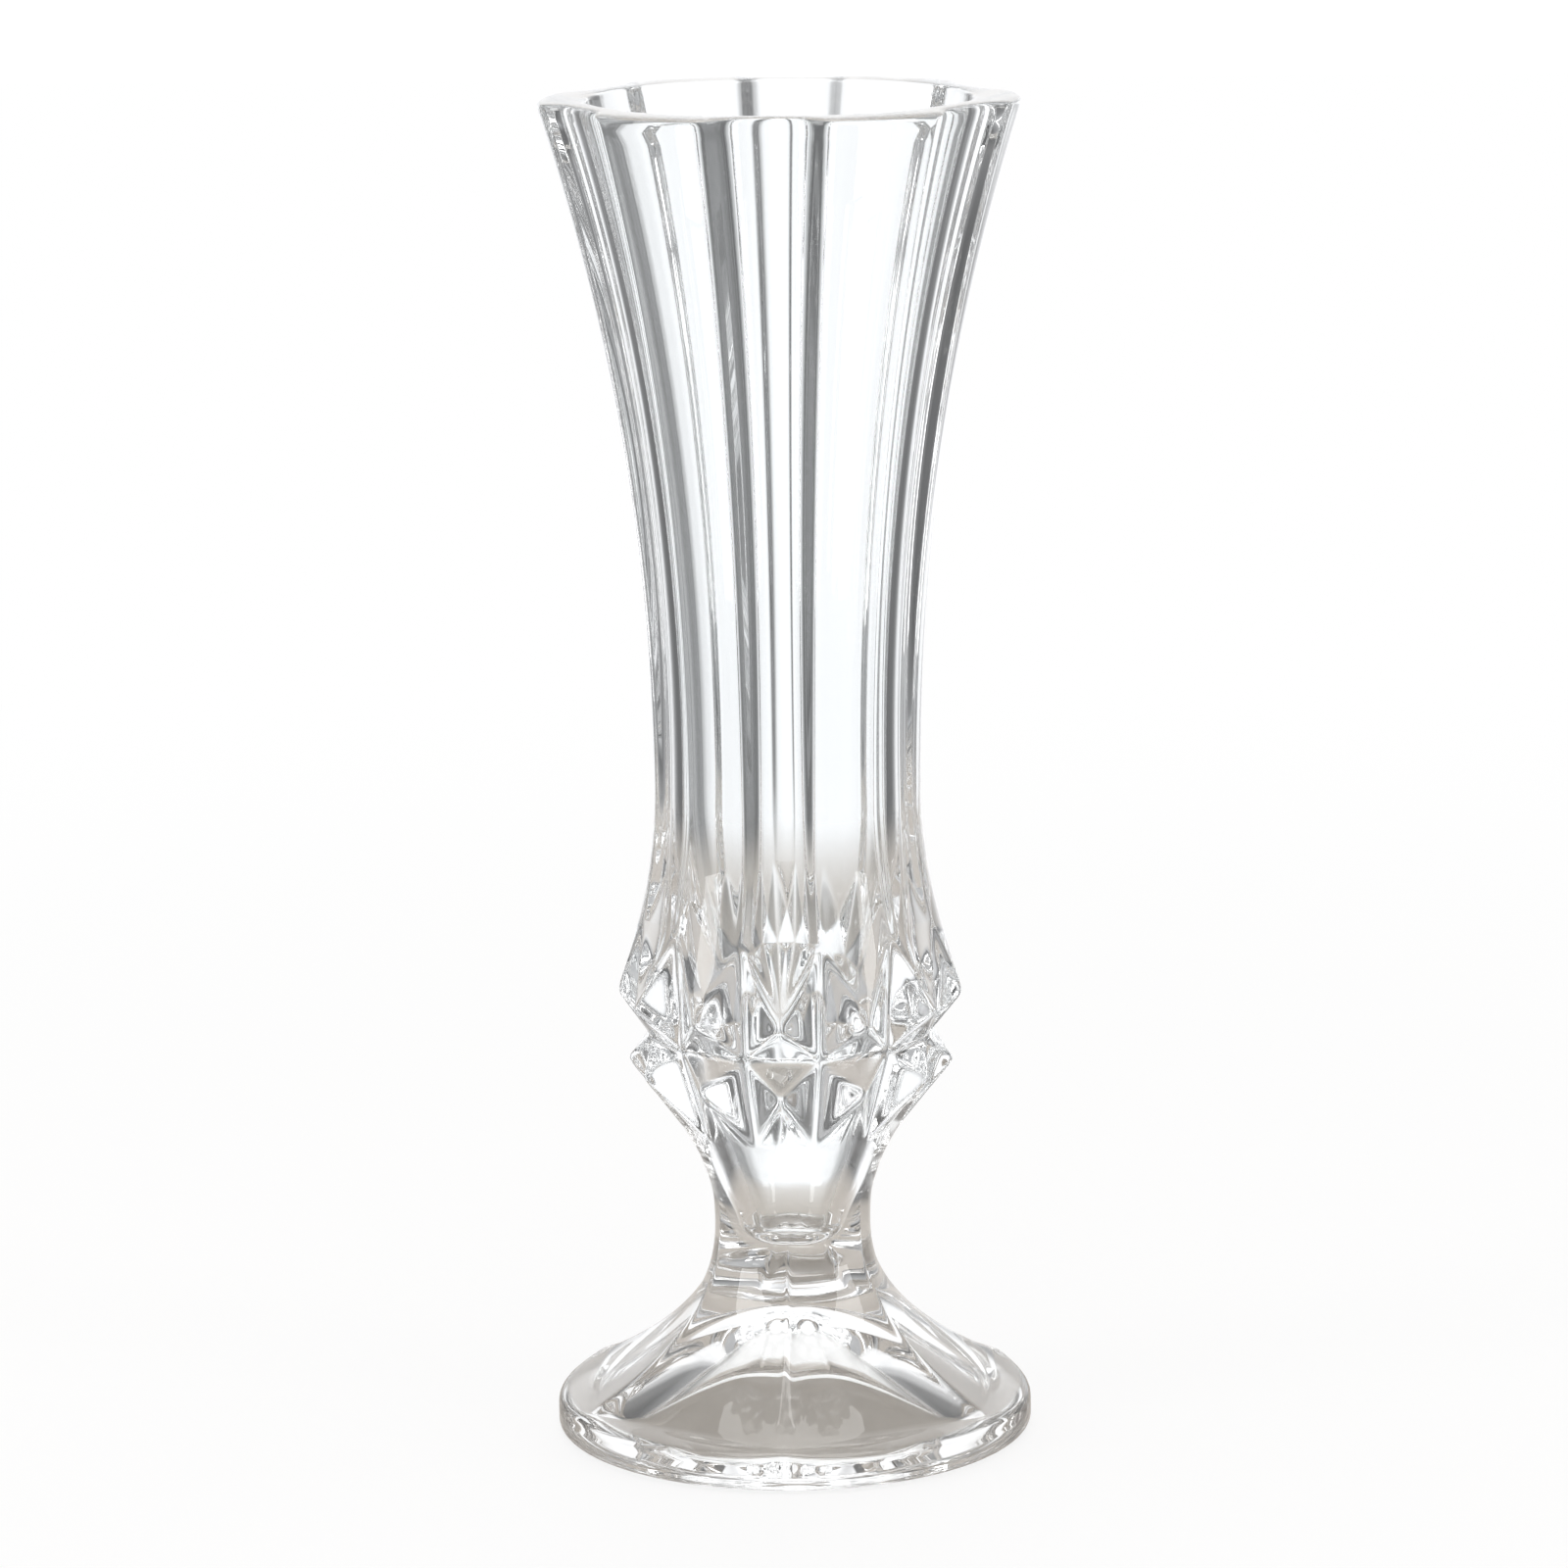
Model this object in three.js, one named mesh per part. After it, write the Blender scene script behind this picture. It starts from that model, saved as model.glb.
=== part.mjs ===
// Cut crystal bud vase: a fluted bowl, a diamond-cut knop, a stem and a six-sided foot.
//
// Each piece is a closed solid of its own. They meet on level planes, where the hot gathers of
// glass are stuck together. The frame has +Z up, its origin at the middle of the resting face,
// and one flute of the bowl facing -Y. Lengths are in millimetres.

import * as THREE from 'three';

// Heights, from the resting face up. Each one is the length of its own stretch.
const HEIGHT = 180;
const FOOT_EDGE_HEIGHT = 5.5;
const FOOT_FLARE_HEIGHT = 14.5;
const WAIST_RISE = 11.3;
const STEM_FLARE_HEIGHT = 10.7;
const LOWER_TAPER_HEIGHT = 8.6;
const LOWER_CROWN_HEIGHT = 4.4;
const UPPER_CROWN_HEIGHT = 5;
const UPPER_TAPER_HEIGHT = 11;
const NECK_RISE = 16.4;

// Outer radii, measured on the ribs
const MOUTH_RADIUS = 31.9;
const NECK_RADIUS = 17.8;
const UPPER_TIP_RADIUS = 23.4;
const RING_RADIUS = 19.2;
const LOWER_TIP_RADIUS = 22.2;
const WAIST_RADIUS = 10.85;
const FOOT_RADIUS = 32.1;

// The foot: a ledge outside its six corners, a shoulder, a round edge and a flat ring to rest on
const FOOT_LEDGE = 1.4;
const SHOULDER_SLOPE = 0.15;
const SHOULDER_DROP = 2.2;
const BASE_ROUND = 1.2;
const REST_WIDTH = 5.4;

// The hollow under the foot is a cone with a rounded point, below a roof of solid glass
const GLASS_ABOVE_HOLLOW = 5.3;
const HOLLOW_POINT_ROUND = 5;

// Flutes and walls. A wall is measured at the bottom of a flute.
const COLUMNS = 12;
const FLUTE_DEPTH_AT_MOUTH = 3.3;
const FLUTE_DEPTH_AT_NECK = 1.7;
const FLUTE_DEPTH_AT_KNOP = 1.2;
const WALL_AT_MOUTH = 3.2;
const WALL_AT_NECK = 3;
const LIP_ROUND = 1;
const LIP_SQUARENESS = 0.5;

// The hollow narrows through the knop and ends in a rounded well in the stem
const WELL_RADIUS = 4.8;
const WELL_ROUND = 3.5;
const WELL_FLOOR_ABOVE_JOINT = 5.5;

// A flute has a rounded bottom on the knop, and a flat one with soft shoulders above the neck
const ROUND_BOTTOM_POWER = 2;
const FLAT_BOTTOM_POWER = 4;
const SOFT_SHOULDER_POWER = 1.5;

// How sharply each flare turns outwards
const BOWL_FLARE_POWER = 2.1;
const SKIRT_FLARE_POWER = 1.88;
const STEM_FLARE_POWER = 1.78;
const FOOT_FLARE_POWER = 2.58;

// Where the round stem starts to turn six-sided, and where it is fully so
const ROUND_ABOVE_WAIST = 3.8;
const SIX_SIDED_BELOW_JOINT = 8;

// Levels worked out from the lengths above
const STEM_JOINT = FOOT_EDGE_HEIGHT + FOOT_FLARE_HEIGHT;
const WAIST = STEM_JOINT + WAIST_RISE;
const KNOP_BOTTOM = WAIST + STEM_FLARE_HEIGHT;
const LOWER_TIPS = KNOP_BOTTOM + LOWER_TAPER_HEIGHT;
const RING = LOWER_TIPS + LOWER_CROWN_HEIGHT;
const UPPER_TIPS = RING + UPPER_CROWN_HEIGHT;
const KNOP_TOP = UPPER_TIPS + UPPER_TAPER_HEIGHT;
const NECK = KNOP_TOP + NECK_RISE;
const WELL_FLOOR = STEM_JOINT + WELL_FLOOR_ABOVE_JOINT;
const WELL_TOP = WELL_FLOOR + WELL_ROUND;
const ROUND_ABOVE = WAIST + ROUND_ABOVE_WAIST;
const SIX_SIDED_BELOW = STEM_JOINT - SIX_SIDED_BELOW_JOINT;

const MOUTH_CAVITY = MOUTH_RADIUS - FLUTE_DEPTH_AT_MOUTH - WALL_AT_MOUTH;
const NECK_CAVITY = NECK_RADIUS - FLUTE_DEPTH_AT_NECK - WALL_AT_NECK;
const FOOT_CORNER_RADIUS = FOOT_RADIUS - FOOT_LEDGE;
const REST_RADIUS = FOOT_RADIUS - BASE_ROUND;
const HOLLOW_RADIUS = REST_RADIUS - REST_WIDTH;
const HOLLOW_HEIGHT = STEM_JOINT - GLASS_ABOVE_HOLLOW;

const COLUMN_ANGLE = (2 * Math.PI) / COLUMNS;
const HALF_COLUMN = COLUMN_ANGLE / 2;

// How finely each stretch is divided
const FACE_STEPS = 3;
const BOWL_STEPS = 9;
const SKIRT_STEPS = 3;
const TAPER_STEPS = 4;
const STEM_STEPS = 4;
const FOOT_STEPS = 7;
const LIP_STEPS = 8;
const WELL_STEPS = 3;
const SHOULDER_STEPS = 5;
const BASE_STEPS = 3;
const HOLLOW_STEPS = 6;
const { lerp, clamp } = THREE.MathUtils;

// ---- Outline of the glass in a vertical plane through a rib ----

function bowlRadius(z) {
  if (z >= NECK) {
    const rise = (z - NECK) / (HEIGHT - NECK);
    return NECK_RADIUS + (MOUTH_RADIUS - NECK_RADIUS) * rise ** BOWL_FLARE_POWER;
  }
  const drop = (NECK - z) / (NECK - UPPER_TIPS);
  return NECK_RADIUS + (UPPER_TIP_RADIUS - NECK_RADIUS) * drop ** SKIRT_FLARE_POWER;
}

function stemRadius(z) {
  if (z >= WAIST) {
    const rise = (z - WAIST) / (LOWER_TIPS - WAIST);
    return WAIST_RADIUS + (LOWER_TIP_RADIUS - WAIST_RADIUS) * rise ** STEM_FLARE_POWER;
  }
  const drop = (WAIST - z) / (WAIST - FOOT_EDGE_HEIGHT);
  return WAIST_RADIUS + (FOOT_CORNER_RADIUS - WAIST_RADIUS) * drop ** FOOT_FLARE_POWER;
}

function fluteDepth(z) {
  if (z >= NECK) {
    return lerp(FLUTE_DEPTH_AT_NECK, FLUTE_DEPTH_AT_MOUTH, (z - NECK) / (HEIGHT - NECK));
  }
  if (z >= KNOP_TOP) {
    return lerp(FLUTE_DEPTH_AT_KNOP, FLUTE_DEPTH_AT_NECK, (z - KNOP_TOP) / NECK_RISE);
  }
  return FLUTE_DEPTH_AT_KNOP * clamp((z - UPPER_TIPS) / UPPER_TAPER_HEIGHT, 0, 1);
}

// How far down a flute reaches, from 0 at its sides to 1 along its middle
function fluteShape(across, z) {
  const grown = clamp((z - KNOP_TOP) / NECK_RISE, 0, 1);
  const flatness = lerp(ROUND_BOTTOM_POWER, FLAT_BOTTOM_POWER, grown);
  return (1 - Math.abs(across) ** flatness) ** lerp(1, SOFT_SHOULDER_POWER, grown);
}

function cavityRadius(z) {
  if (z >= NECK) {
    const rise = (z - NECK) / (HEIGHT - NECK);
    return NECK_CAVITY + (MOUTH_CAVITY - NECK_CAVITY) * rise ** BOWL_FLARE_POWER;
  }
  const rise = (z - WELL_TOP) / (NECK - WELL_TOP);
  return WELL_RADIUS + (NECK_CAVITY - WELL_RADIUS) * Math.sin((rise * Math.PI) / 2);
}

function hollowHeight(radius) {
  const slant = (distance) => Math.hypot(distance, HOLLOW_POINT_ROUND);
  const rise = slant(HOLLOW_RADIUS) - slant(radius);
  return (HOLLOW_HEIGHT * rise) / (slant(HOLLOW_RADIUS) - slant(0));
}

// ---- One column of the cut pattern, as points across it at one height ----

function polar(radius, angle) {
  return new THREE.Vector2(radius * Math.cos(angle), radius * Math.sin(angle));
}

// The facet line leaves the column's edge and runs to the tip of its diamond
function facetPoint(from, to, share, side) {
  const a = polar(from.radius, side * from.angle);
  const b = polar(to.radius, side * to.angle);
  return a.lerp(b, share);
}

// Points from one facet line to the other: round on a rib, hollow in a flute, flat on a crown
function faceBetween(left, right, outerRadius, depthAt) {
  const points = [];
  const swell = outerRadius === null ? 0 : outerRadius - (left.x + right.x) / 2;
  for (let i = 1; i < 2 * FACE_STEPS; i += 1) {
    const across = i / FACE_STEPS - 1;
    const point = left.clone().lerp(right, i / (2 * FACE_STEPS));
    point.x += swell * (1 - across * across) - depthAt(across);
    points.push(point);
  }
  return points;
}

function columnSection(z, isFlute) {
  const valleys = {
    top: { z: KNOP_TOP, radius: bowlRadius(KNOP_TOP), angle: HALF_COLUMN },
    ring: { z: RING, radius: RING_RADIUS, angle: HALF_COLUMN },
    bottom: { z: KNOP_BOTTOM, radius: stemRadius(KNOP_BOTTOM), angle: HALF_COLUMN },
  };
  const tips = {
    upper: { z: UPPER_TIPS, radius: UPPER_TIP_RADIUS, angle: 0 },
    lower: { z: LOWER_TIPS, radius: LOWER_TIP_RADIUS, angle: 0 },
  };
  const share = (from, to) => (z - from.z) / (to.z - from.z);
  const depth = isFlute && z > UPPER_TIPS ? fluteDepth(z) : 0;
  let edgeRadius;
  let from;
  let to;
  let outerRadius = null;
  if (z >= KNOP_TOP) {
    edgeRadius = bowlRadius(z);
    outerRadius = edgeRadius;
  } else if (z >= RING) {
    edgeRadius = lerp(valleys.top.radius, valleys.ring.radius, share(valleys.top, valleys.ring));
    from = z >= UPPER_TIPS ? valleys.top : valleys.ring;
    to = tips.upper;
    outerRadius = z >= UPPER_TIPS ? bowlRadius(z) : null;
  } else if (z > KNOP_BOTTOM) {
    edgeRadius = lerp(valleys.ring.radius, valleys.bottom.radius, share(valleys.ring, valleys.bottom));
    from = z > LOWER_TIPS ? valleys.ring : valleys.bottom;
    to = tips.lower;
    outerRadius = z > LOWER_TIPS ? null : stemRadius(z);
  } else {
    edgeRadius = stemRadius(z);
    outerRadius = edgeRadius;
  }
  const edge = polar(edgeRadius, -HALF_COLUMN);
  const left = from ? facetPoint(from, to, share(from, to), -1) : edge.clone();
  const right = from ? facetPoint(from, to, share(from, to), 1) : polar(edgeRadius, HALF_COLUMN);
  const depthAt = (across) => depth * fluteShape(across, z);
  return [edge, left, ...faceBetween(left, right, outerRadius, depthAt), right];
}

// Below the waist the round stem turns into a six-sided foot with a ridge under each flute
function sixSided(point, z) {
  const squareness = clamp((ROUND_ABOVE - z) / (ROUND_ABOVE - SIX_SIDED_BELOW), 0, 1);
  const fromRidge = Math.abs(((point.angle() / COLUMN_ANGLE + 1) % 2) - 1) * COLUMN_ANGLE;
  const side = Math.cos(COLUMN_ANGLE) / Math.cos(COLUMN_ANGLE - fromRidge);
  return lerp(1, side, squareness);
}

// A full turn of the section. Column 0 is the flute that faces -Y.
function outerRing(z) {
  const ring = [];
  for (let column = 0; column < COLUMNS; column += 1) {
    for (const point of columnSection(z, column % 2 === 0)) {
      point.rotateAround(new THREE.Vector2(), column * COLUMN_ANGLE);
      if (z < ROUND_ABOVE) point.multiplyScalar(sixSided(point, z));
      ring.push(new THREE.Vector3(point.y, -point.x, z));
    }
  }
  return ring;
}

function roundRing(radius, z) {
  const ring = [];
  for (const point of outerRing(z < KNOP_TOP && z > KNOP_BOTTOM ? KNOP_TOP : z)) {
    const flat = new THREE.Vector2(point.x, point.y).setLength(radius);
    ring.push(new THREE.Vector3(flat.x, flat.y, z));
  }
  return ring;
}

function blendRing(inner, outer, share, z) {
  return inner.map((point, i) => {
    const blended = point.clone().lerp(outer[i], share);
    return blended.setZ(z);
  });
}

// ---- Closed skins ----

const WELD = 1e-4;

// Rings run down the outside of a piece and up its inside, seen in a cut through the axis. A ring
// of one point is a pole. The last ring joins the first when the skin is a loop.
function closedSkin(rings, loop) {
  const positions = [];
  const indices = [];
  const known = new Map();
  const indexOf = (point) => {
    const key = [point.x, point.y, point.z].map((value) => Math.round(value / WELD)).join();
    if (!known.has(key)) {
      known.set(key, positions.length / 3);
      positions.push(point.x, point.y, point.z);
    }
    return known.get(key);
  };
  const addTriangle = (a, b, c) => {
    const [i, j, k] = [indexOf(a), indexOf(b), indexOf(c)];
    if (i !== j && j !== k && k !== i) indices.push(i, j, k);
  };
  const around = rings.reduce((most, ring) => Math.max(most, ring.length), 0);
  const at = (ring, i) => ring[ring.length === 1 ? 0 : i % around];
  const pairs = loop ? rings.length : rings.length - 1;
  for (let row = 0; row < pairs; row += 1) {
    const upper = rings[row];
    const lower = rings[(row + 1) % rings.length];
    for (let i = 0; i < around; i += 1) {
      addTriangle(at(upper, i), at(lower, i), at(lower, i + 1));
      addTriangle(at(upper, i), at(lower, i + 1), at(upper, i + 1));
    }
  }
  const geometry = new THREE.BufferGeometry();
  geometry.setAttribute('position', new THREE.Float32BufferAttribute(positions, 3));
  geometry.setIndex(indices);
  geometry.computeVertexNormals();
  return geometry;
}

// Levels from top to bottom, both ends included
function levels(top, bottom, steps) {
  return Array.from({ length: steps + 1 }, (_, i) => lerp(top, bottom, i / steps));
}

const pole = (z) => [new THREE.Vector3(0, 0, z)];

// ---- The four pieces of glass ----

function bowl() {
  const wallTop = HEIGHT - LIP_ROUND;
  const wallOut = outerRing(wallTop);
  const wallIn = roundRing(cavityRadius(wallTop), wallTop);
  const lip = [];
  for (let step = 1; step < LIP_STEPS; step += 1) {
    const turn = (step / LIP_STEPS) * Math.PI;
    const across = Math.sign(Math.cos(turn)) * Math.abs(Math.cos(turn)) ** LIP_SQUARENESS;
    const height = wallTop + LIP_ROUND * Math.sin(turn) ** LIP_SQUARENESS;
    lip.push(blendRing(wallIn, wallOut, (1 - across) / 2, height));
  }
  const outside = [...levels(wallTop, NECK, BOWL_STEPS), ...levels(NECK, KNOP_TOP, SKIRT_STEPS).slice(1)];
  const inside = [
    ...levels(KNOP_TOP, NECK, SKIRT_STEPS),
    ...levels(NECK, wallTop, BOWL_STEPS).slice(1, -1),
  ];
  const rings = [
    wallIn,
    ...lip,
    ...outside.map(outerRing),
    ...inside.map((z) => roundRing(cavityRadius(z), z)),
  ];
  return closedSkin(rings, true);
}

function diamondKnop() {
  const outside = [
    ...levels(KNOP_TOP, UPPER_TIPS, TAPER_STEPS),
    RING,
    ...levels(LOWER_TIPS, KNOP_BOTTOM, TAPER_STEPS),
  ];
  const inside = levels(KNOP_BOTTOM, KNOP_TOP, TAPER_STEPS);
  const rings = [
    ...outside.map(outerRing),
    ...inside.map((z) => roundRing(cavityRadius(z), z)),
  ];
  return closedSkin(rings, true);
}

function stem() {
  const well = [];
  for (let step = 1; step <= WELL_STEPS; step += 1) {
    const turn = (step / WELL_STEPS) * (Math.PI / 2);
    well.push(roundRing(WELL_RADIUS * Math.sin(turn), WELL_TOP - WELL_ROUND * Math.cos(turn)));
  }
  const bore = levels(WELL_TOP, KNOP_BOTTOM, STEM_STEPS).slice(1);
  const outside = [
    ...levels(KNOP_BOTTOM, WAIST, STEM_STEPS),
    ...levels(WAIST, STEM_JOINT, STEM_STEPS).slice(1),
  ];
  const rings = [
    pole(WELL_FLOOR),
    ...well,
    ...bore.map((z) => roundRing(cavityRadius(z), z)),
    ...outside.map(outerRing),
    pole(STEM_JOINT),
  ];
  return closedSkin(rings, false);
}

// A point of the shoulder, which leaves the six-sided panel gently and ends upright
function shoulderPoint(corner, share) {
  const reach = Math.hypot(corner.x, corner.y);
  const stepOut = (FOOT_RADIUS - reach) / 2;
  const start = new THREE.Vector2(reach, FOOT_EDGE_HEIGHT);
  const leaving = new THREE.Vector2(reach + stepOut, FOOT_EDGE_HEIGHT - SHOULDER_SLOPE * stepOut);
  const arriving = new THREE.Vector2(FOOT_RADIUS, FOOT_EDGE_HEIGHT);
  const end = new THREE.Vector2(FOOT_RADIUS, FOOT_EDGE_HEIGHT - SHOULDER_DROP);
  const spot = new THREE.CubicBezierCurve(start, leaving, arriving, end).getPoint(share);
  return corner.clone().setZ(0).setLength(spot.x).setZ(spot.y);
}

function foot() {
  const flare = levels(STEM_JOINT, FOOT_EDGE_HEIGHT, FOOT_STEPS);
  const corners = outerRing(FOOT_EDGE_HEIGHT);
  const level = (radius, z) => corners.map((point) => point.clone().setZ(0).setLength(radius).setZ(z));
  const shoulder = [];
  for (let step = 1; step <= SHOULDER_STEPS; step += 1) {
    shoulder.push(corners.map((corner) => shoulderPoint(corner, step / SHOULDER_STEPS)));
  }
  const base = [];
  for (let step = 0; step <= BASE_STEPS; step += 1) {
    const turn = (step / BASE_STEPS) * (Math.PI / 2);
    base.push(level(REST_RADIUS + BASE_ROUND * Math.cos(turn), BASE_ROUND * (1 - Math.sin(turn))));
  }
  const hollow = levels(HOLLOW_RADIUS, 0, HOLLOW_STEPS).slice(0, -1);
  const rings = [
    pole(STEM_JOINT),
    ...flare.map(outerRing),
    ...shoulder,
    ...base,
    ...hollow.map((radius) => level(radius, hollowHeight(radius))),
    pole(hollowHeight(0)),
  ];
  return closedSkin(rings, false);
}

// ---- Assembly ----

const CRYSTAL = { color: 0xf4f7f8, roughness: 0.02, metalness: 0 };

const vase = new THREE.Group();
const pieces = { bowl, diamond_knop: diamondKnop, stem, foot };
for (const [name, make] of Object.entries(pieces)) {
  const mesh = new THREE.Mesh(make(), new THREE.MeshStandardMaterial(CRYSTAL));
  mesh.name = name;
  vase.add(mesh);
}

export default vase;
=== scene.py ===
# %% [markdown]
# # A cut crystal bud vase
#
# The vase is four gathers of clear lead crystal, stuck together hot: a fluted bowl, a knop with
# two rows of diamond facets, a slim stem and a six-sided foot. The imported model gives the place
# and the outer size of each one. This lesson makes the fine glass around it, then the light that
# glass needs to be seen at all.

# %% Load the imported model
import math

import bpy
from mathutils import Matrix, Vector


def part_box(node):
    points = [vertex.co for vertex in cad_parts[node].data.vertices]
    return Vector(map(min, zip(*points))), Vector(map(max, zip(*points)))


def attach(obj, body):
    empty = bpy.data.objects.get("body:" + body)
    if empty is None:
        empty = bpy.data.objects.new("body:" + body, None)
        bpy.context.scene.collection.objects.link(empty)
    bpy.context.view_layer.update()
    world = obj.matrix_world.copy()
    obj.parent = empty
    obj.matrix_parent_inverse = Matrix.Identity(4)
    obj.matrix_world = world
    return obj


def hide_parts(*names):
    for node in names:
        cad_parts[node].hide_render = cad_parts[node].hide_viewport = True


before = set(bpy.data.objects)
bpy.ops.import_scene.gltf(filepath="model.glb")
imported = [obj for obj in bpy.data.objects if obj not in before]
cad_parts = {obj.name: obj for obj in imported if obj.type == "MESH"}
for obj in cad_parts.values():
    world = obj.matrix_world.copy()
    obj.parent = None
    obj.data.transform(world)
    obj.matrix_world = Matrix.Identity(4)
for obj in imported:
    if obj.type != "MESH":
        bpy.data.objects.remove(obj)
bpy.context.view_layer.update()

MM = 0.001
print("nodes:", sorted(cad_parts))

# %% [markdown]
# ## The camera
#
# The vase is seen from a little above the rim, from about 0.8 m, through a long lens. A long
# lens keeps the sides of a tall vase nearly parallel. The camera stands a few degrees to the
# right of the front flute and is rolled by less than a degree. A small lens shift sets the vase
# sideways in the frame.

# %% Camera
VIEW_TURN = math.radians(3.5)
VIEW_DISTANCE = 0.808
VIEW_HEIGHT = 0.256
VIEW_TILT = math.radians(11.72)
VIEW_ROLL = math.radians(-0.7)
LENS = 142.0
LENS_SHIFT = -0.0022
SENSOR_WIDTH = 36

camera_data = bpy.data.cameras.new("camera")
camera_data.sensor_width = SENSOR_WIDTH
camera_data.lens = LENS
camera_data.shift_x = LENS_SHIFT
camera = bpy.data.objects.new("camera", camera_data)
bpy.context.scene.collection.objects.link(camera)
stand = (VIEW_DISTANCE * math.sin(VIEW_TURN), -VIEW_DISTANCE * math.cos(VIEW_TURN), VIEW_HEIGHT)
aim = (
    Matrix.Rotation(VIEW_TURN, 4, "Z")
    @ Matrix.Rotation(math.pi / 2 - VIEW_TILT, 4, "X")
    @ Matrix.Rotation(VIEW_ROLL, 4, "Z")
)
camera.matrix_world = Matrix.Translation(stand) @ aim
bpy.context.scene.camera = camera
print("camera at", [round(value, 3) for value in stand])

# %% [markdown]
# ## Sizes
#
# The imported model's boxes say where each gather ends and how wide it is. What a box can't say is
# the cut between its corners: how deep a flute is, how high a diamond's tip stands, how thick
# the wall is. Those are named here once, in millimetres times `MM`.

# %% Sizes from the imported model
_, bowl_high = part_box("bowl")
knop_low, knop_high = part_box("diamond_knop")
stem_low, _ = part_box("stem")
_, foot_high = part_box("foot")

TOP = bowl_high.z
KNOP_TOP = knop_high.z
KNOP_BOTTOM = knop_low.z
STEM_JOINT = stem_low.z
UPPER_TIP_RADIUS = knop_high.x
FOOT_RADIUS = foot_high.x
print("height", round(TOP / MM, 1), "mm; knop", round(2 * UPPER_TIP_RADIUS / MM, 1), "mm across")

# %% Sizes of the cut
FOOT_EDGE = 5.5 * MM
EDGE_TOP = 3.3 * MM
START_SLOPE = 0.15
SHOULDER_FULLNESS = 1
EDGE_BOTTOM = 1.2 * MM
REST_RADIUS = 30.9 * MM
HOLLOW_RADIUS = 25.5 * MM
GLASS_ABOVE_HOLLOW = 5.3 * MM
HOLLOW_TIP_ROUND = 5 * MM
WAIST = STEM_JOINT + 11.3 * MM
WAIST_RADIUS = 10.85 * MM
ROUND_ABOVE = WAIST + 3.8 * MM
SIX_SIDED_BELOW = 12 * MM
LOWER_TIPS = KNOP_BOTTOM + 8.6 * MM
RING = LOWER_TIPS + 4.4 * MM
UPPER_TIPS = RING + 5 * MM
NECK = KNOP_TOP + 16.4 * MM
LOWER_TIP_RADIUS = 22.2 * MM
RING_RADIUS = 19.2 * MM
NECK_RADIUS = 17.8 * MM
MOUTH_RADIUS = 31.9 * MM
FLUTE_AT_MOUTH = 3.3 * MM
FLUTE_AT_NECK = 1.7 * MM
FLUTE_AT_KNOP = 1.2 * MM
WALL_AT_MOUTH = 3.2 * MM
WALL_AT_NECK = 3 * MM
MOUTH_CAVITY = MOUTH_RADIUS - FLUTE_AT_MOUTH - WALL_AT_MOUTH
NECK_CAVITY = NECK_RADIUS - FLUTE_AT_NECK - WALL_AT_NECK
FLAT_BOTTOM = 4
SOFT_SHOULDER = 1.5
LIP_ROUND = 1 * MM
WELL_FLOOR = STEM_JOINT + 5.5 * MM
WELL_ROUND = 3.5 * MM
WELL_TOP = WELL_FLOOR + WELL_ROUND
WELL_RADIUS = 4.8 * MM
FOOT_CORNER = 30.7 * MM

COLUMNS = 12
COLUMN = 2 * math.pi / COLUMNS
FACE_STEPS = 8
RING_STEPS = 24
EDGE_ROUND = 0.5 * MM
# An edge is worn over EDGE_ROUND up and down, by an average of five levels with these shares,
# and then twice over neighbouring points round the ring.
BLUR = (0.1, 0.2, 0.4, 0.2, 0.1)
RING_AVERAGES = 2
# A Vector holds single-precision numbers, so two angles are only equal to about this much.
TINY = 1e-5
print("mouth", round(2 * MOUTH_RADIUS / MM, 1), "mm; waist", round(2 * WAIST_RADIUS / MM, 1), "mm")

# %% [markdown]
# ## The outline
#
# Drawn from the side, the vase is a few flares. A flare that starts along the axis and turns
# outwards is a power of the height: a power of 2 is a parabola, and a higher one turns later and
# faster. `mix` walks from one number to another.

# %% Outline of the ribs and of the hollow
BOWL_FLARE = 2.1
TAPER_FLARE = 1.88
STEM_FLARE = 1.78
FOOT_FLARE = 2.58


def mix(a, b, share):
    return a + (b - a) * share


def bowl_radius(z):
    if z >= NECK:
        return mix(NECK_RADIUS, MOUTH_RADIUS, ((z - NECK) / (TOP - NECK)) ** BOWL_FLARE)
    share = (NECK - z) / (NECK - UPPER_TIPS)
    return mix(NECK_RADIUS, UPPER_TIP_RADIUS, share ** TAPER_FLARE)


def stem_radius(z):
    if z >= WAIST:
        share = (z - WAIST) / (LOWER_TIPS - WAIST)
        return mix(WAIST_RADIUS, LOWER_TIP_RADIUS, share ** STEM_FLARE)
    share = (WAIST - z) / (WAIST - FOOT_EDGE)
    return mix(WAIST_RADIUS, FOOT_CORNER, share ** FOOT_FLARE)


def flute_depth(z):
    if z >= NECK:
        return mix(FLUTE_AT_NECK, FLUTE_AT_MOUTH, (z - NECK) / (TOP - NECK))
    if z >= KNOP_TOP:
        return mix(FLUTE_AT_KNOP, FLUTE_AT_NECK, (z - KNOP_TOP) / (NECK - KNOP_TOP))
    return FLUTE_AT_KNOP * max(z - UPPER_TIPS, 0) / (KNOP_TOP - UPPER_TIPS)


def cavity_radius(z):
    if z >= NECK:
        return mix(NECK_CAVITY, MOUTH_CAVITY, ((z - NECK) / (TOP - NECK)) ** BOWL_FLARE)
    rise = (z - WELL_TOP) / (NECK - WELL_TOP)
    return mix(WELL_RADIUS, NECK_CAVITY, math.sin(rise * math.pi / 2))


def hollow_height(radius):
    whole = math.hypot(HOLLOW_RADIUS, HOLLOW_TIP_ROUND)
    rise = whole - math.hypot(radius, HOLLOW_TIP_ROUND)
    return (STEM_JOINT - GLASS_ABOVE_HOLLOW) * rise / (whole - HOLLOW_TIP_ROUND)


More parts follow.
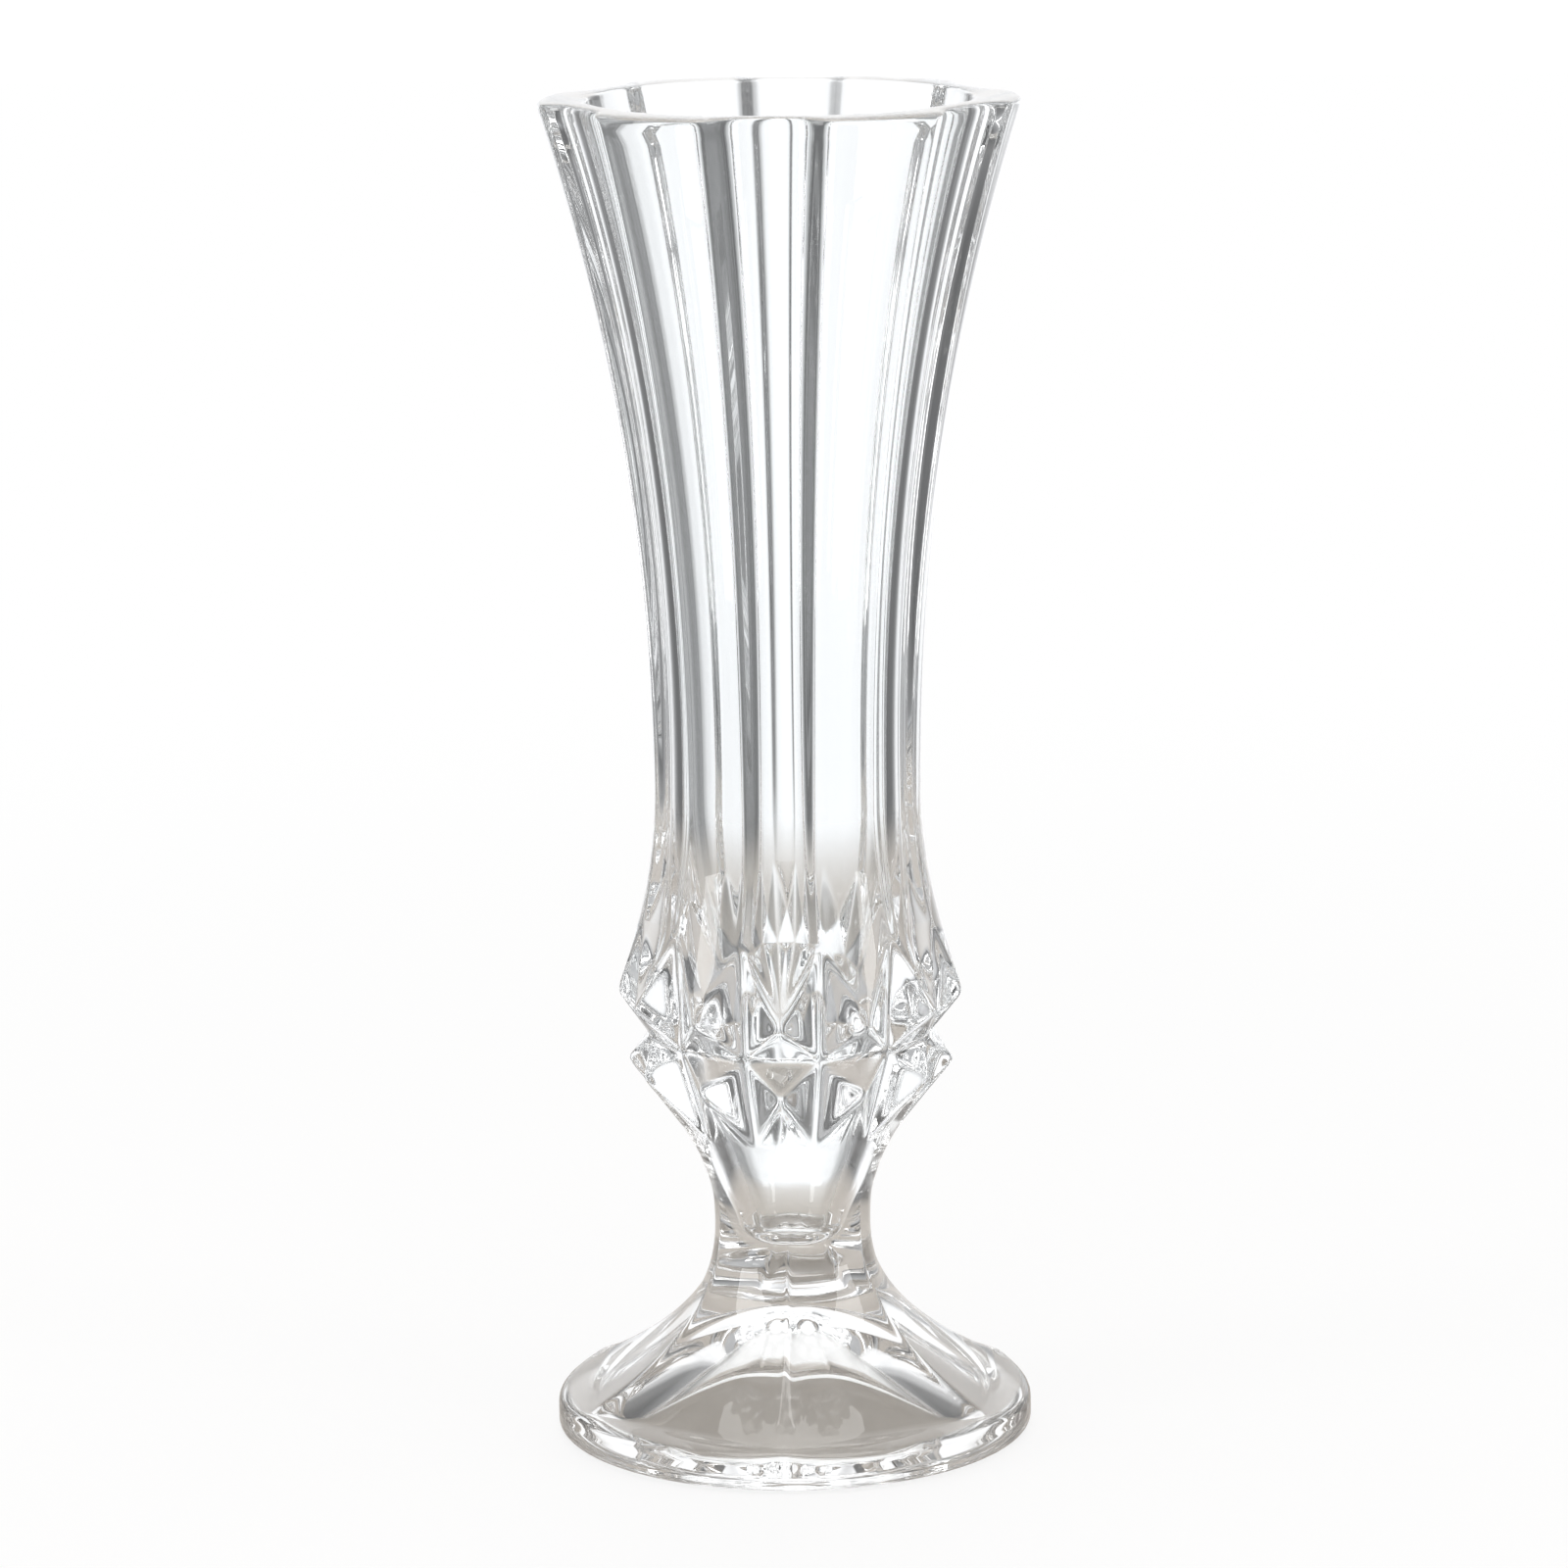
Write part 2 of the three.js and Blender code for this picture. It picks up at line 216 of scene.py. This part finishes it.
print("wall at the neck", round((NECK_RADIUS - FLUTE_AT_NECK - NECK_CAVITY) / MM, 1), "mm")

# %% [markdown]
# ## One column of the cut
#
# The pattern repeats every thirty degrees, as twelve columns. On the bowl a column is a hollow
# flute or a round rib, turn about. On the knop every column holds two diamonds, and each
# diamond is four flat facets that meet at a tip: that is how a wheel cuts them. A facet line
# runs straight from the edge of the column to the tip, so the points across a column are found
# at any height by walking along those straight lines.

# %% Points across one column
def polar(radius, angle):
    return Vector((radius * math.cos(angle), radius * math.sin(angle)))


def along(start, end, z, side):
    share = (z - start[0]) / (end[0] - start[0])
    from_point = polar(start[1], side * start[2])
    to_point = polar(end[1], side * end[2])
    return from_point.lerp(to_point, share)


def column_points(z, is_flute):
    half = COLUMN / 2
    top_edge = (KNOP_TOP, bowl_radius(KNOP_TOP), half)
    ring_edge = (RING, RING_RADIUS, half)
    low_edge = (KNOP_BOTTOM, stem_radius(KNOP_BOTTOM), half)
    upper_tip = (UPPER_TIPS, UPPER_TIP_RADIUS, 0)
    lower_tip = (LOWER_TIPS, LOWER_TIP_RADIUS, 0)
    hollow = flute_depth(z) if is_flute else 0
    grown = min(max((z - KNOP_TOP) / (NECK - KNOP_TOP), 0), 1)
    facet = None
    swollen = None
    if z >= KNOP_TOP:
        edge = bowl_radius(z)
        swollen = edge
    elif z >= RING:
        edge = mix(top_edge[1], ring_edge[1], (KNOP_TOP - z) / (KNOP_TOP - RING))
        facet = (top_edge if z >= UPPER_TIPS else ring_edge, upper_tip)
        swollen = bowl_radius(z) if z >= UPPER_TIPS else None
    elif z > KNOP_BOTTOM:
        edge = mix(ring_edge[1], low_edge[1], (RING - z) / (RING - KNOP_BOTTOM))
        facet = (ring_edge if z > LOWER_TIPS else low_edge, lower_tip)
        swollen = None if z > LOWER_TIPS else stem_radius(z)
    else:
        edge = stem_radius(z)
        swollen = edge
    left = along(*facet, z, -1) if facet else polar(edge, -half)
    right = along(*facet, z, 1) if facet else polar(edge, half)
    points = [polar(edge, -half), left]
    rise = 0 if swollen is None else swollen - (left.x + right.x) / 2
    for step in range(1, 2 * FACE_STEPS):
        across = step / FACE_STEPS - 1
        point = left.lerp(right, step / (2 * FACE_STEPS))
        groove = (1 - abs(across) ** mix(2, FLAT_BOTTOM, grown)) ** mix(1, SOFT_SHOULDER, grown)
        point.x += rise * (1 - across * across) - hollow * groove
        points.append(point)
    return points + [right, polar(edge, half)]


print("points across a column:", len(column_points(NECK, True)))

# %% [markdown]
# Two columns side by side, one flute and one rib, are a sixth of the vase. Below the waist the
# round stem grows six ridges, one under each flute, and turns into the six-sided foot.

# %% A sixth of a turn, at any height
def six_sided(point, z):
    squareness = min(max((ROUND_ABOVE - z) / (ROUND_ABOVE - SIX_SIDED_BELOW), 0), 1)
    angle = math.atan2(point.y, point.x)
    from_ridge = abs((angle / COLUMN + 1) % 2 - 1) * COLUMN
    return mix(1, math.cos(COLUMN) / math.cos(COLUMN - from_ridge), squareness)


def sixth(z):
    points = []
    for column in (0, 1):
        turn = Matrix.Rotation(column * COLUMN, 2)
        fan = [turn @ point for point in column_points(z, column == 0)]
        points += fan if column == 0 else fan[1:]
    return [point * six_sided(point, z) for point in points]


def ring_radii(z):
    corners = sixth(z)
    place = 0
    radii = []
    for step in range(2 * RING_STEPS):
        angle = COLUMN * (step / RING_STEPS - 1 / 2)
        way = polar(1, angle)
        while place < len(corners) - 2 and math.atan2(*corners[place + 1].yx) < angle + TINY:
            place += 1
        start = corners[place]
        side = corners[place + 1] - start
        radii.append((start.x * side.y - start.y * side.x) / (way.x * side.y - way.y * side.x))
    return radii


def worn_radii(z):
    lifts = [EDGE_ROUND * share for share in (-1, -0.5, 0, 0.5, 1)]
    rows = [ring_radii(z + lift) for lift in lifts]
    radii = [sum(share * r for share, r in zip(BLUR, column)) for column in zip(*rows)]
    for _ in range(RING_AVERAGES):
        before = radii[-1:] + radii[:-1]
        after = radii[1:] + radii[:1]
        radii = [(a + 2 * b + c) / 4 for a, b, c in zip(before, radii, after)]
    return radii


def ring_row(radii, z):
    points = []
    for step, radius in enumerate([*radii, radii[0]]):
        point = polar(radius, COLUMN * (step / RING_STEPS - 1 / 2))
        points.append(Vector((point.y, -point.x, z)))
    return points


def outer_row(z):
    return ring_row(worn_radii(z), z)


def round_row(radius, z):
    return ring_row([radius] * (2 * RING_STEPS), z)


def blend_row(inner, outer, share, z):
    return [Vector((*a.lerp(b, share)[:2], z)) for a, b in zip(inner, outer)]


def heights(start, end, steps):
    return [mix(start, end, step / steps) for step in range(steps + 1)]


print("points in a sixth of a ring:", len(outer_row(TOP)))

# %% [markdown]
# ## From a sixth to a closed piece of glass
#
# A sixth of a piece starts as a flat grid, like a sheet of paper. Each row of the grid is laid
# on a row of points, which wraps the sheet round the glass: down the outside, across the joint
# and up the inside. Spin then copies the sixth round the axis, merge by distance welds the
# seams and the points that fall together at the tips, and the normals are set to face out.

# %% Wrap, spin and weld
WELD = 0.001 * MM
SMOOTH_BELOW = math.radians(50)
SPIN_COPIES = 5


def deselect():
    if bpy.context.object and bpy.context.object.mode != "OBJECT":
        bpy.ops.object.mode_set(mode="OBJECT")
    bpy.ops.object.select_all(action="DESELECT")


def glass_piece(name, rows):
    deselect()
    bpy.ops.mesh.primitive_grid_add(
        x_subdivisions=len(rows[0]) - 1, y_subdivisions=len(rows) - 1, size=1
    )
    piece = bpy.context.object
    piece.name = name
    points = [point for row in rows for point in row]
    for vertex, point in zip(piece.data.vertices, points):
        vertex.co = point
    bpy.ops.object.mode_set(mode="EDIT")
    bpy.ops.mesh.select_all(action="SELECT")
    bpy.ops.mesh.spin(
        steps=SPIN_COPIES,
        dupli=True,
        angle=math.radians(60 * SPIN_COPIES),
        center=(0, 0, 0),
        axis=(0, 0, 1),
    )
    bpy.ops.mesh.select_all(action="SELECT")
    bpy.ops.mesh.remove_doubles(threshold=WELD)
    bpy.ops.mesh.dissolve_degenerate(threshold=WELD)
    bpy.ops.mesh.select_all(action="SELECT")
    bpy.ops.mesh.normals_make_consistent(inside=False)
    bpy.ops.object.mode_set(mode="OBJECT")
    bpy.ops.object.shade_smooth_by_angle(angle=SMOOTH_BELOW)
    print(piece.name, len(piece.data.polygons), "faces")
    return piece


# %% [markdown]
# ## The bowl
#
# The bowl is a thick wall, deep ribs outside and a smooth round bore inside, as a mould and a
# plunger leave it. The lip is a full, flattened arch from wall to wall, the shape that glass
# takes when the rim is melted smooth in the flame. A `LIP_FULLNESS` of 1 would be half an
# ellipse, and a smaller one fills its shoulders.

# %% Bowl
LIP_STEPS = 16
LIP_FULLNESS = 0.5
FLARE_STEPS = 90
TAPER_STEPS = 30
LOW_BORE_STEPS = 8
HIGH_BORE_STEPS = 40

wall_top = TOP - LIP_ROUND
wall_outside = outer_row(wall_top)
wall_inside = round_row(cavity_radius(wall_top), wall_top)
lip_rows = []
for step in range(1, LIP_STEPS):
    turn = math.pi * step / LIP_STEPS
    height = wall_top + LIP_ROUND * math.sin(turn) ** LIP_FULLNESS
    across = math.copysign(abs(math.cos(turn)) ** LIP_FULLNESS, math.cos(turn))
    lip_rows.append(blend_row(wall_inside, wall_outside, (1 - across) / 2, height))

bowl_rows = [wall_inside, *lip_rows]
bowl_rows += [outer_row(z) for z in heights(wall_top, NECK, FLARE_STEPS)]
bowl_rows += [outer_row(z) for z in heights(NECK, KNOP_TOP, TAPER_STEPS)[1:]]
low_bore = heights(KNOP_TOP, NECK, LOW_BORE_STEPS)
high_bore = heights(NECK, wall_top, HIGH_BORE_STEPS)
bowl_rows += [round_row(cavity_radius(z), z) for z in low_bore + high_bore[1:]]
bowl = glass_piece("bowl_glass", bowl_rows)

# %% [markdown]
# ## The diamond knop
#
# Two rows of twelve diamonds, base to base along a narrow ring. The rows lie close together,
# so that the worn edges between the facets stay as soft as polishing leaves them.

# %% Diamond knop
KNOP_STEPS = 72
KNOP_BORE_STEPS = 12

knop_rows = [outer_row(z) for z in heights(KNOP_TOP, KNOP_BOTTOM, KNOP_STEPS)]
knop_bore = heights(KNOP_BOTTOM, KNOP_TOP, KNOP_BORE_STEPS)
knop_rows += [round_row(cavity_radius(z), z) for z in knop_bore]
knop_rows += [knop_rows[0]]
knop = glass_piece("diamond_knop_glass", knop_rows)

# %% [markdown]
# ## The stem
#
# The stem is solid but for the end of the bore, a rounded well like the tip of a finger. Its
# facets melt into a smooth waist and come back as the six ridges of the foot.

# %% Stem
WELL_STEPS = 8
WELL_WALL_STEPS = 8
ABOVE_WAIST_STEPS = 24
BELOW_WAIST_STEPS = 16

stem_rows = [[Vector((0, 0, WELL_FLOOR))] * len(outer_row(WAIST))]
for step in range(1, WELL_STEPS + 1):
    turn = math.pi / 2 * step / WELL_STEPS
    height = WELL_TOP - WELL_ROUND * math.cos(turn)
    stem_rows.append(round_row(WELL_RADIUS * math.sin(turn), height))
well_wall = heights(WELL_TOP, KNOP_BOTTOM, WELL_WALL_STEPS)
stem_rows += [round_row(cavity_radius(z), z) for z in well_wall[1:]]
stem_rows += [outer_row(z) for z in heights(KNOP_BOTTOM, WAIST, ABOVE_WAIST_STEPS)]
stem_rows += [outer_row(z) for z in heights(WAIST, STEM_JOINT, BELOW_WAIST_STEPS)[1:]]
stem_rows += [[Vector((0, 0, STEM_JOINT))] * len(outer_row(WAIST))]
stem = glass_piece("stem_glass", stem_rows)

# %% [markdown]
# ## The foot
#
# Six flared panels run down to a hexagon, and a rounded shoulder carries it out to the round
# edge on which the vase stands. The shoulder is a Bezier curve of four points. Under the foot a
# shallow cone is hollowed out, so that the vase rests on a ring and doesn't rock.

# %% Foot
FOOT_STEPS = 30
SHOULDER_STEPS = 12
EDGE_STEPS = 8
HOLLOW_STEPS = 24


def shoulder_point(corner, share):
    reach = math.hypot(corner.x, corner.y)
    step_out = (FOOT_RADIUS - reach) / 2
    radii = (reach, reach + step_out, FOOT_RADIUS, FOOT_RADIUS)
    levels = (
        FOOT_EDGE,
        FOOT_EDGE - START_SLOPE * step_out,
        mix(EDGE_TOP, FOOT_EDGE, SHOULDER_FULLNESS),
        EDGE_TOP,
    )
    weights = (
        (1 - share) ** 3,
        3 * share * (1 - share) ** 2,
        3 * share ** 2 * (1 - share),
        share ** 3,
    )
    radius = sum(a * b for a, b in zip(weights, radii))
    height = sum(a * b for a, b in zip(weights, levels))
    return Vector((corner.x * radius / reach, corner.y * radius / reach, height))


corner_row = outer_row(FOOT_EDGE)
foot_rows = [[Vector((0, 0, STEM_JOINT))] * len(corner_row)]
foot_rows += [outer_row(z) for z in heights(STEM_JOINT, FOOT_EDGE, FOOT_STEPS)]
for step in range(1, SHOULDER_STEPS + 1):
    foot_rows.append([shoulder_point(corner, step / SHOULDER_STEPS) for corner in corner_row])
for step in range(EDGE_STEPS + 1):
    turn = math.pi / 2 * step / EDGE_STEPS
    reach = mix(REST_RADIUS, FOOT_RADIUS, math.cos(turn))
    foot_rows.append(round_row(reach, EDGE_BOTTOM * (1 - math.sin(turn))))
for step in range(HOLLOW_STEPS):
    reach = HOLLOW_RADIUS * (1 - step / HOLLOW_STEPS)
    foot_rows.append(round_row(reach, hollow_height(reach)))
foot_rows += [[Vector((0, 0, hollow_height(0)))] * len(corner_row)]
foot = glass_piece("foot_glass", foot_rows)

# %% [markdown]
# ## Lead crystal
#
# Lead crystal is clear glass with about a quarter of lead oxide. The lead raises its index of
# refraction to about 1.545, so it bends light harder than window glass and sparkles more. Its
# surface is fire polished: mirror smooth, with a faint slow ripple where the mould or the wheel
# passed. The ripple is a bump pattern with waves about 9 mm long and a few micrometres high.

# %% Material helpers
def linear(hex_colour):
    parts = [int(hex_colour[index : index + 2], 16) / 255 for index in (1, 3, 5)]
    low = [part / 12.92 for part in parts]
    high = [((part + 0.055) / 1.055) ** 2.4 for part in parts]
    return tuple(b if part > 0.04045 else a for part, a, b in zip(parts, low, high)) + (1,)


def add_node(material, kind, settings=None, links=None):
    """A node of that kind. settings are attributes or input values, links are its inputs."""
    node = material.node_tree.nodes.new(kind)
    for key, value in (settings or {}).items():
        if key in node.inputs:
            node.inputs[key].default_value = value
        else:
            setattr(node, key, value)
    for key, socket in (links or {}).items():
        material.node_tree.links.new(socket, node.inputs[key])
    return node


def new_material(name):
    material = bpy.data.materials.new(name)
    material.use_nodes = True
    material.node_tree.nodes.clear()
    return material


print("mid grey #808080 is", round(linear("#808080")[0], 3), "in linear light")

# %% Lead crystal
LEAD_CRYSTAL_IOR = 1.545
RIPPLE_LENGTH = 9 * MM


def lead_crystal(name, tint, ripple_height):
    material = new_material(name)
    place = add_node(material, "ShaderNodeTexCoord").outputs["Object"]
    ripple = add_node(
        material,
        "ShaderNodeTexNoise",
        {"Scale": 1 / RIPPLE_LENGTH, "Detail": 2, "Roughness": 0.5},
        {"Vector": place},
    )
    bump = add_node(
        material,
        "ShaderNodeBump",
        {"Strength": 1, "Distance": ripple_height},
        {"Height": ripple.outputs["Fac"]},
    )
    glass = add_node(
        material,
        "ShaderNodeBsdfPrincipled",
        {
            "Base Color": linear(tint),
            "Roughness": 0,
            "IOR": LEAD_CRYSTAL_IOR,
            "Transmission Weight": 1,
        },
        {"Normal": bump.outputs["Normal"]},
    )
    add_node(
        material, "ShaderNodeOutputMaterial", links={"Surface": glass.outputs["BSDF"]}
    )
    return material


print("index", LEAD_CRYSTAL_IOR, "with ripples", round(RIPPLE_LENGTH / MM, 1), "mm long")

# %% [markdown]
# Where two gathers were fused hot there is no surface left inside: light runs straight on. The
# faces of a joint get a clear, unbending material, so that neither piece mirrors the other.

# %% Fused joint
def fused_joint():
    material = new_material("fused_joint")
    clear = add_node(material, "ShaderNodeBsdfTransparent")
    add_node(
        material, "ShaderNodeOutputMaterial", links={"Surface": clear.outputs["BSDF"]}
    )
    return material


FUSED = fused_joint()
LEVEL = 0.999


def finish_piece(piece, material, node, joints):
    piece.data.materials.append(material)
    piece.data.materials.append(FUSED)
    count = 0
    for face in piece.data.polygons:
        level = any(abs(face.center.z - joint) < WELD for joint in joints)
        if level and abs(face.normal.z) > LEVEL:
            face.material_index = 1
            count += 1
    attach(piece, "root")
    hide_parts(node)
    print(piece.name, "has", count, "fused faces")


polished = lead_crystal("fire_polished_lead_crystal", "#FDFEFE", 0.004 * MM)
cut = lead_crystal("wheel_cut_lead_crystal", "#FDFEFE", 0.002 * MM)
pressed = lead_crystal("pressed_lead_crystal", "#FCFCFB", 0.006 * MM)
finish_piece(bowl, polished, "bowl", [KNOP_TOP])
finish_piece(knop, cut, "diamond_knop", [KNOP_TOP, KNOP_BOTTOM])
finish_piece(stem, polished, "stem", [KNOP_BOTTOM, STEM_JOINT])
finish_piece(foot, pressed, "foot", [STEM_JOINT])

# %% [markdown]
# ## The studio
#
# Clear glass shows only what stands around it. Here that is a tent of four bright sheets, one on
# each side of the vase, with dark gaps between them on the diagonals. The sheets make the body
# white and the gaps draw its flutes and edges as dark lines. The sheet at the back is the
# brightest. The table is a warm grey close to the glass, which gives the foot and the knop their
# quieter tone, and farther out it takes on the tones of the sheets. Close to the glass the grey
# table also glows a little by itself. That is painted light: it lifts the shade the vase casts on
# it.
#
# The camera sees the tent only through the glass. Where it looks past the vase, the Light Path
# node gives it an even white background and a pale floor that fades to white, with only a breath
# of shadow left under the foot.

# %% Tones all round
# From the middle of a dark gap, 0, to the middle of a sheet, 1: the tone at each place.
TENT = ((0.0, 0.2), (0.4, 0.27), (0.65, 0.65), (0.85, 1.1), (1.0, 1.2))
OTHER_SIDES = 0.45
BACK_FROM = 0.5
BACK_FULL = 0.8
MOST_DIAGONAL = math.sqrt(0.5)


def tones_round(owner, place):
    """Bright along the four axes, dark on the diagonals. Gives the tone and the distance out."""
    flat = add_node(
        owner, "ShaderNodeVectorMath", {"operation": "MULTIPLY"}, {0: place}
    )
    flat.inputs[1].default_value = (1, 1, 0)
    out = add_node(owner, "ShaderNodeVectorMath", {"operation": "LENGTH"}, {0: flat.outputs[0]})
    away = add_node(owner, "ShaderNodeVectorMath", {"operation": "ABSOLUTE"}, {0: flat.outputs[0]})
    sides = add_node(owner, "ShaderNodeSeparateXYZ", links={0: away.outputs[0]})
    longest = add_node(
        owner,
        "ShaderNodeMath",
        {"operation": "MAXIMUM"},
        {0: sides.outputs["X"], 1: sides.outputs["Y"]},
    )
    share = add_node(
        owner,
        "ShaderNodeMath",
        {"operation": "DIVIDE"},
        {0: longest.outputs[0], 1: out.outputs["Value"]},
    )
    spread = add_node(
        owner, "ShaderNodeMapRange", {"From Min": MOST_DIAGONAL}, {"Value": share.outputs[0]}
    )
    ramp = add_node(owner, "ShaderNodeValToRGB", links={"Fac": spread.outputs["Result"]})
    ramp.color_ramp.interpolation = "EASE"
    while len(ramp.color_ramp.elements) < len(TENT):
        ramp.color_ramp.elements.new(0.5)
    for element, (spot, tone) in zip(ramp.color_ramp.elements, TENT):
        element.position = spot
        element.color = (tone, tone, tone, 1)
    depth = add_node(owner, "ShaderNodeSeparateXYZ", links={0: flat.outputs[0]}).outputs["Y"]
    facing = add_node(
        owner,
        "ShaderNodeMath",
        {"operation": "DIVIDE"},
        {0: depth, 1: out.outputs["Value"]},
    ).outputs[0]
    strength = add_node(
        owner,
        "ShaderNodeMapRange",
        {
            "interpolation_type": "SMOOTHSTEP",
            "From Min": BACK_FROM,
            "From Max": BACK_FULL,
            "To Min": OTHER_SIDES,
        },
        {"Value": facing},
    ).outputs["Result"]
    tone = add_node(
        owner,
        "ShaderNodeMath",
        {"operation": "MULTIPLY"},
        {0: ramp.outputs["Color"], 1: strength},
    )
    return tone.outputs[0], out.outputs["Value"]


print("tones from gap to sheet:", [tone for _, tone in TENT])

# %% Table
TABLE_COLOUR = "#B9B2AA"
COOL_WHITE = "#FCFDFF"
PALE_FLOOR = "#6A6968"
PALE_GLOW = 0.84
# Painted light: the strength at which the grey table near the vase glows in its own colour,
# lifting the shade under the glass.
TABLE_PAINTED_GLOW = 0.25
WHITE_GLOW = 1.0
TABLE_WIDTH = 4.0
GREY_WITHIN = 0.03
WHITE_BEYOND = 0.25
EYE_FADE = (0.1, 0.55)
FLOOR_GAP = 0.3 * MM

deselect()
bpy.ops.mesh.primitive_plane_add(size=TABLE_WIDTH, location=(0, 0, 0))
table = bpy.context.object
table.name = "table"
table.data.transform(Matrix.Translation((0, 0, -FLOOR_GAP)))

table_paint = new_material("warm_grey_matt_table")
place = add_node(table_paint, "ShaderNodeTexCoord").outputs["Object"]
tone, distance = tones_round(table_paint, place)


def fade(start, end):
    return add_node(
        table_paint,
        "ShaderNodeMapRange",
        {"interpolation_type": "SMOOTHSTEP", "From Min": start, "From Max": end},
        {"Value": distance},
    ).outputs["Result"]


# The grey part of the table: a real matt warm grey, plus a painted glow of that colour which
# lightens the vase's shade on it.
matt_with_painted_glow = add_node(
    table_paint,
    "ShaderNodeBsdfPrincipled",
    {
        "Base Color": linear(TABLE_COLOUR),
        "Roughness": 0.8,
        "Emission Color": linear(TABLE_COLOUR),
        "Emission Strength": TABLE_PAINTED_GLOW,
    },
)
sheet = add_node(
    table_paint, "ShaderNodeEmission", {"Color": linear(COOL_WHITE)}, {"Strength": tone}
)
for_glass = add_node(
    table_paint,
    "ShaderNodeMixShader",
    links={0: fade(GREY_WITHIN, WHITE_BEYOND), 1: matt_with_painted_glow.outputs[0], 2: sheet.outputs[0]},
)
glow = add_node(table_paint, "ShaderNodeEmission", {"Strength": PALE_GLOW})
pale = add_node(table_paint, "ShaderNodeBsdfDiffuse", {"Color": linear(PALE_FLOOR)})
near_eye = add_node(
    table_paint, "ShaderNodeAddShader", links={0: glow.outputs[0], 1: pale.outputs[0]}
)
far_eye = add_node(table_paint, "ShaderNodeEmission", {"Strength": WHITE_GLOW})
for_eye = add_node(
    table_paint,
    "ShaderNodeMixShader",
    links={0: fade(*EYE_FADE), 1: near_eye.outputs[0], 2: far_eye.outputs[0]},
)
camera_ray = add_node(table_paint, "ShaderNodeLightPath").outputs["Is Camera Ray"]
choice = add_node(
    table_paint,
    "ShaderNodeMixShader",
    links={0: camera_ray, 1: for_glass.outputs[0], 2: for_eye.outputs[0]},
)
add_node(table_paint, "ShaderNodeOutputMaterial", links={"Surface": choice.outputs[0]})
table.data.materials.append(table_paint)
print(table.name, TABLE_WIDTH, "m wide")

# %% Lights
def softbox(name, place, target, width, height, power):
    light = bpy.data.lights.new(name, "AREA")
    light.shape = "RECTANGLE"
    light.size = width
    light.size_y = height
    light.energy = power
    lamp = bpy.data.objects.new(name, light)
    bpy.context.scene.collection.objects.link(lamp)
    lamp.location = place
    direction = Vector(target) - Vector(place)
    lamp.rotation_euler = direction.to_track_quat("-Z", "Y").to_euler()
    print(name, width, "by", height, "m,", power, "W")


# Places and sizes are in metres.
softbox("overhead_softbox", (0, -0.1, 1.2), (0, 0, 0), width=0.9, height=0.9, power=7)
softbox("left_softbox", (-1.1, -0.6, 0.5), (0, 0, 0.1), width=0.35, height=0.9, power=4)
softbox("right_softbox", (1.1, -0.5, 0.5), (0, 0, 0.1), width=0.25, height=0.9, power=2.5)

# %% Light tent
ROOF_TONE = 0.4
ROOF_FROM = 0.2
ROOF_FULL = 0.8
PAPER_WHITE = 1.1

world = bpy.data.worlds.new("light_tent")
world.use_nodes = True
world.node_tree.nodes.clear()
direction = add_node(world, "ShaderNodeTexCoord").outputs["Generated"]
tone, _ = tones_round(world, direction)
height = add_node(world, "ShaderNodeSeparateXYZ", links={0: direction}).outputs["Z"]
roof = add_node(
    world,
    "ShaderNodeMapRange",
    {
        "interpolation_type": "SMOOTHSTEP",
        "From Min": ROOF_FROM,
        "From Max": ROOF_FULL,
        "To Max": ROOF_TONE,
    },
    {"Value": height},
).outputs["Result"]
inside = add_node(world, "ShaderNodeMath", {"operation": "MAXIMUM"}, {0: tone, 1: roof})
camera_ray = add_node(world, "ShaderNodeLightPath").outputs["Is Camera Ray"]
white = add_node(world, "ShaderNodeMath", {"operation": "MULTIPLY"}, {0: camera_ray})
white.inputs[1].default_value = PAPER_WHITE
seen = add_node(
    world, "ShaderNodeMath", {"operation": "MAXIMUM"}, {0: inside.outputs[0], 1: white.outputs[0]}
)
sky = add_node(
    world, "ShaderNodeBackground", {"Color": linear(COOL_WHITE)}, {"Strength": seen.outputs[0]}
)
add_node(world, "ShaderNodeOutputWorld", links={"Surface": sky.outputs["Background"]})
bpy.context.scene.world = world
bpy.context.scene.view_settings.view_transform = "Standard"
print("roof tone", ROOF_TONE, "and background", PAPER_WHITE)

# %% [markdown]
# Light goes round and round inside cut glass: it crosses a face, mirrors off several facets and
# leaves somewhere else. A path that is cut short turns black, so paths may be long here.

# %% Long light paths
paths = bpy.context.scene.cycles
paths.max_bounces = 32
paths.glossy_bounces = 24
paths.transmission_bounces = 24
paths.transparent_max_bounces = 32
print("longest path:", paths.max_bounces, "bounces")
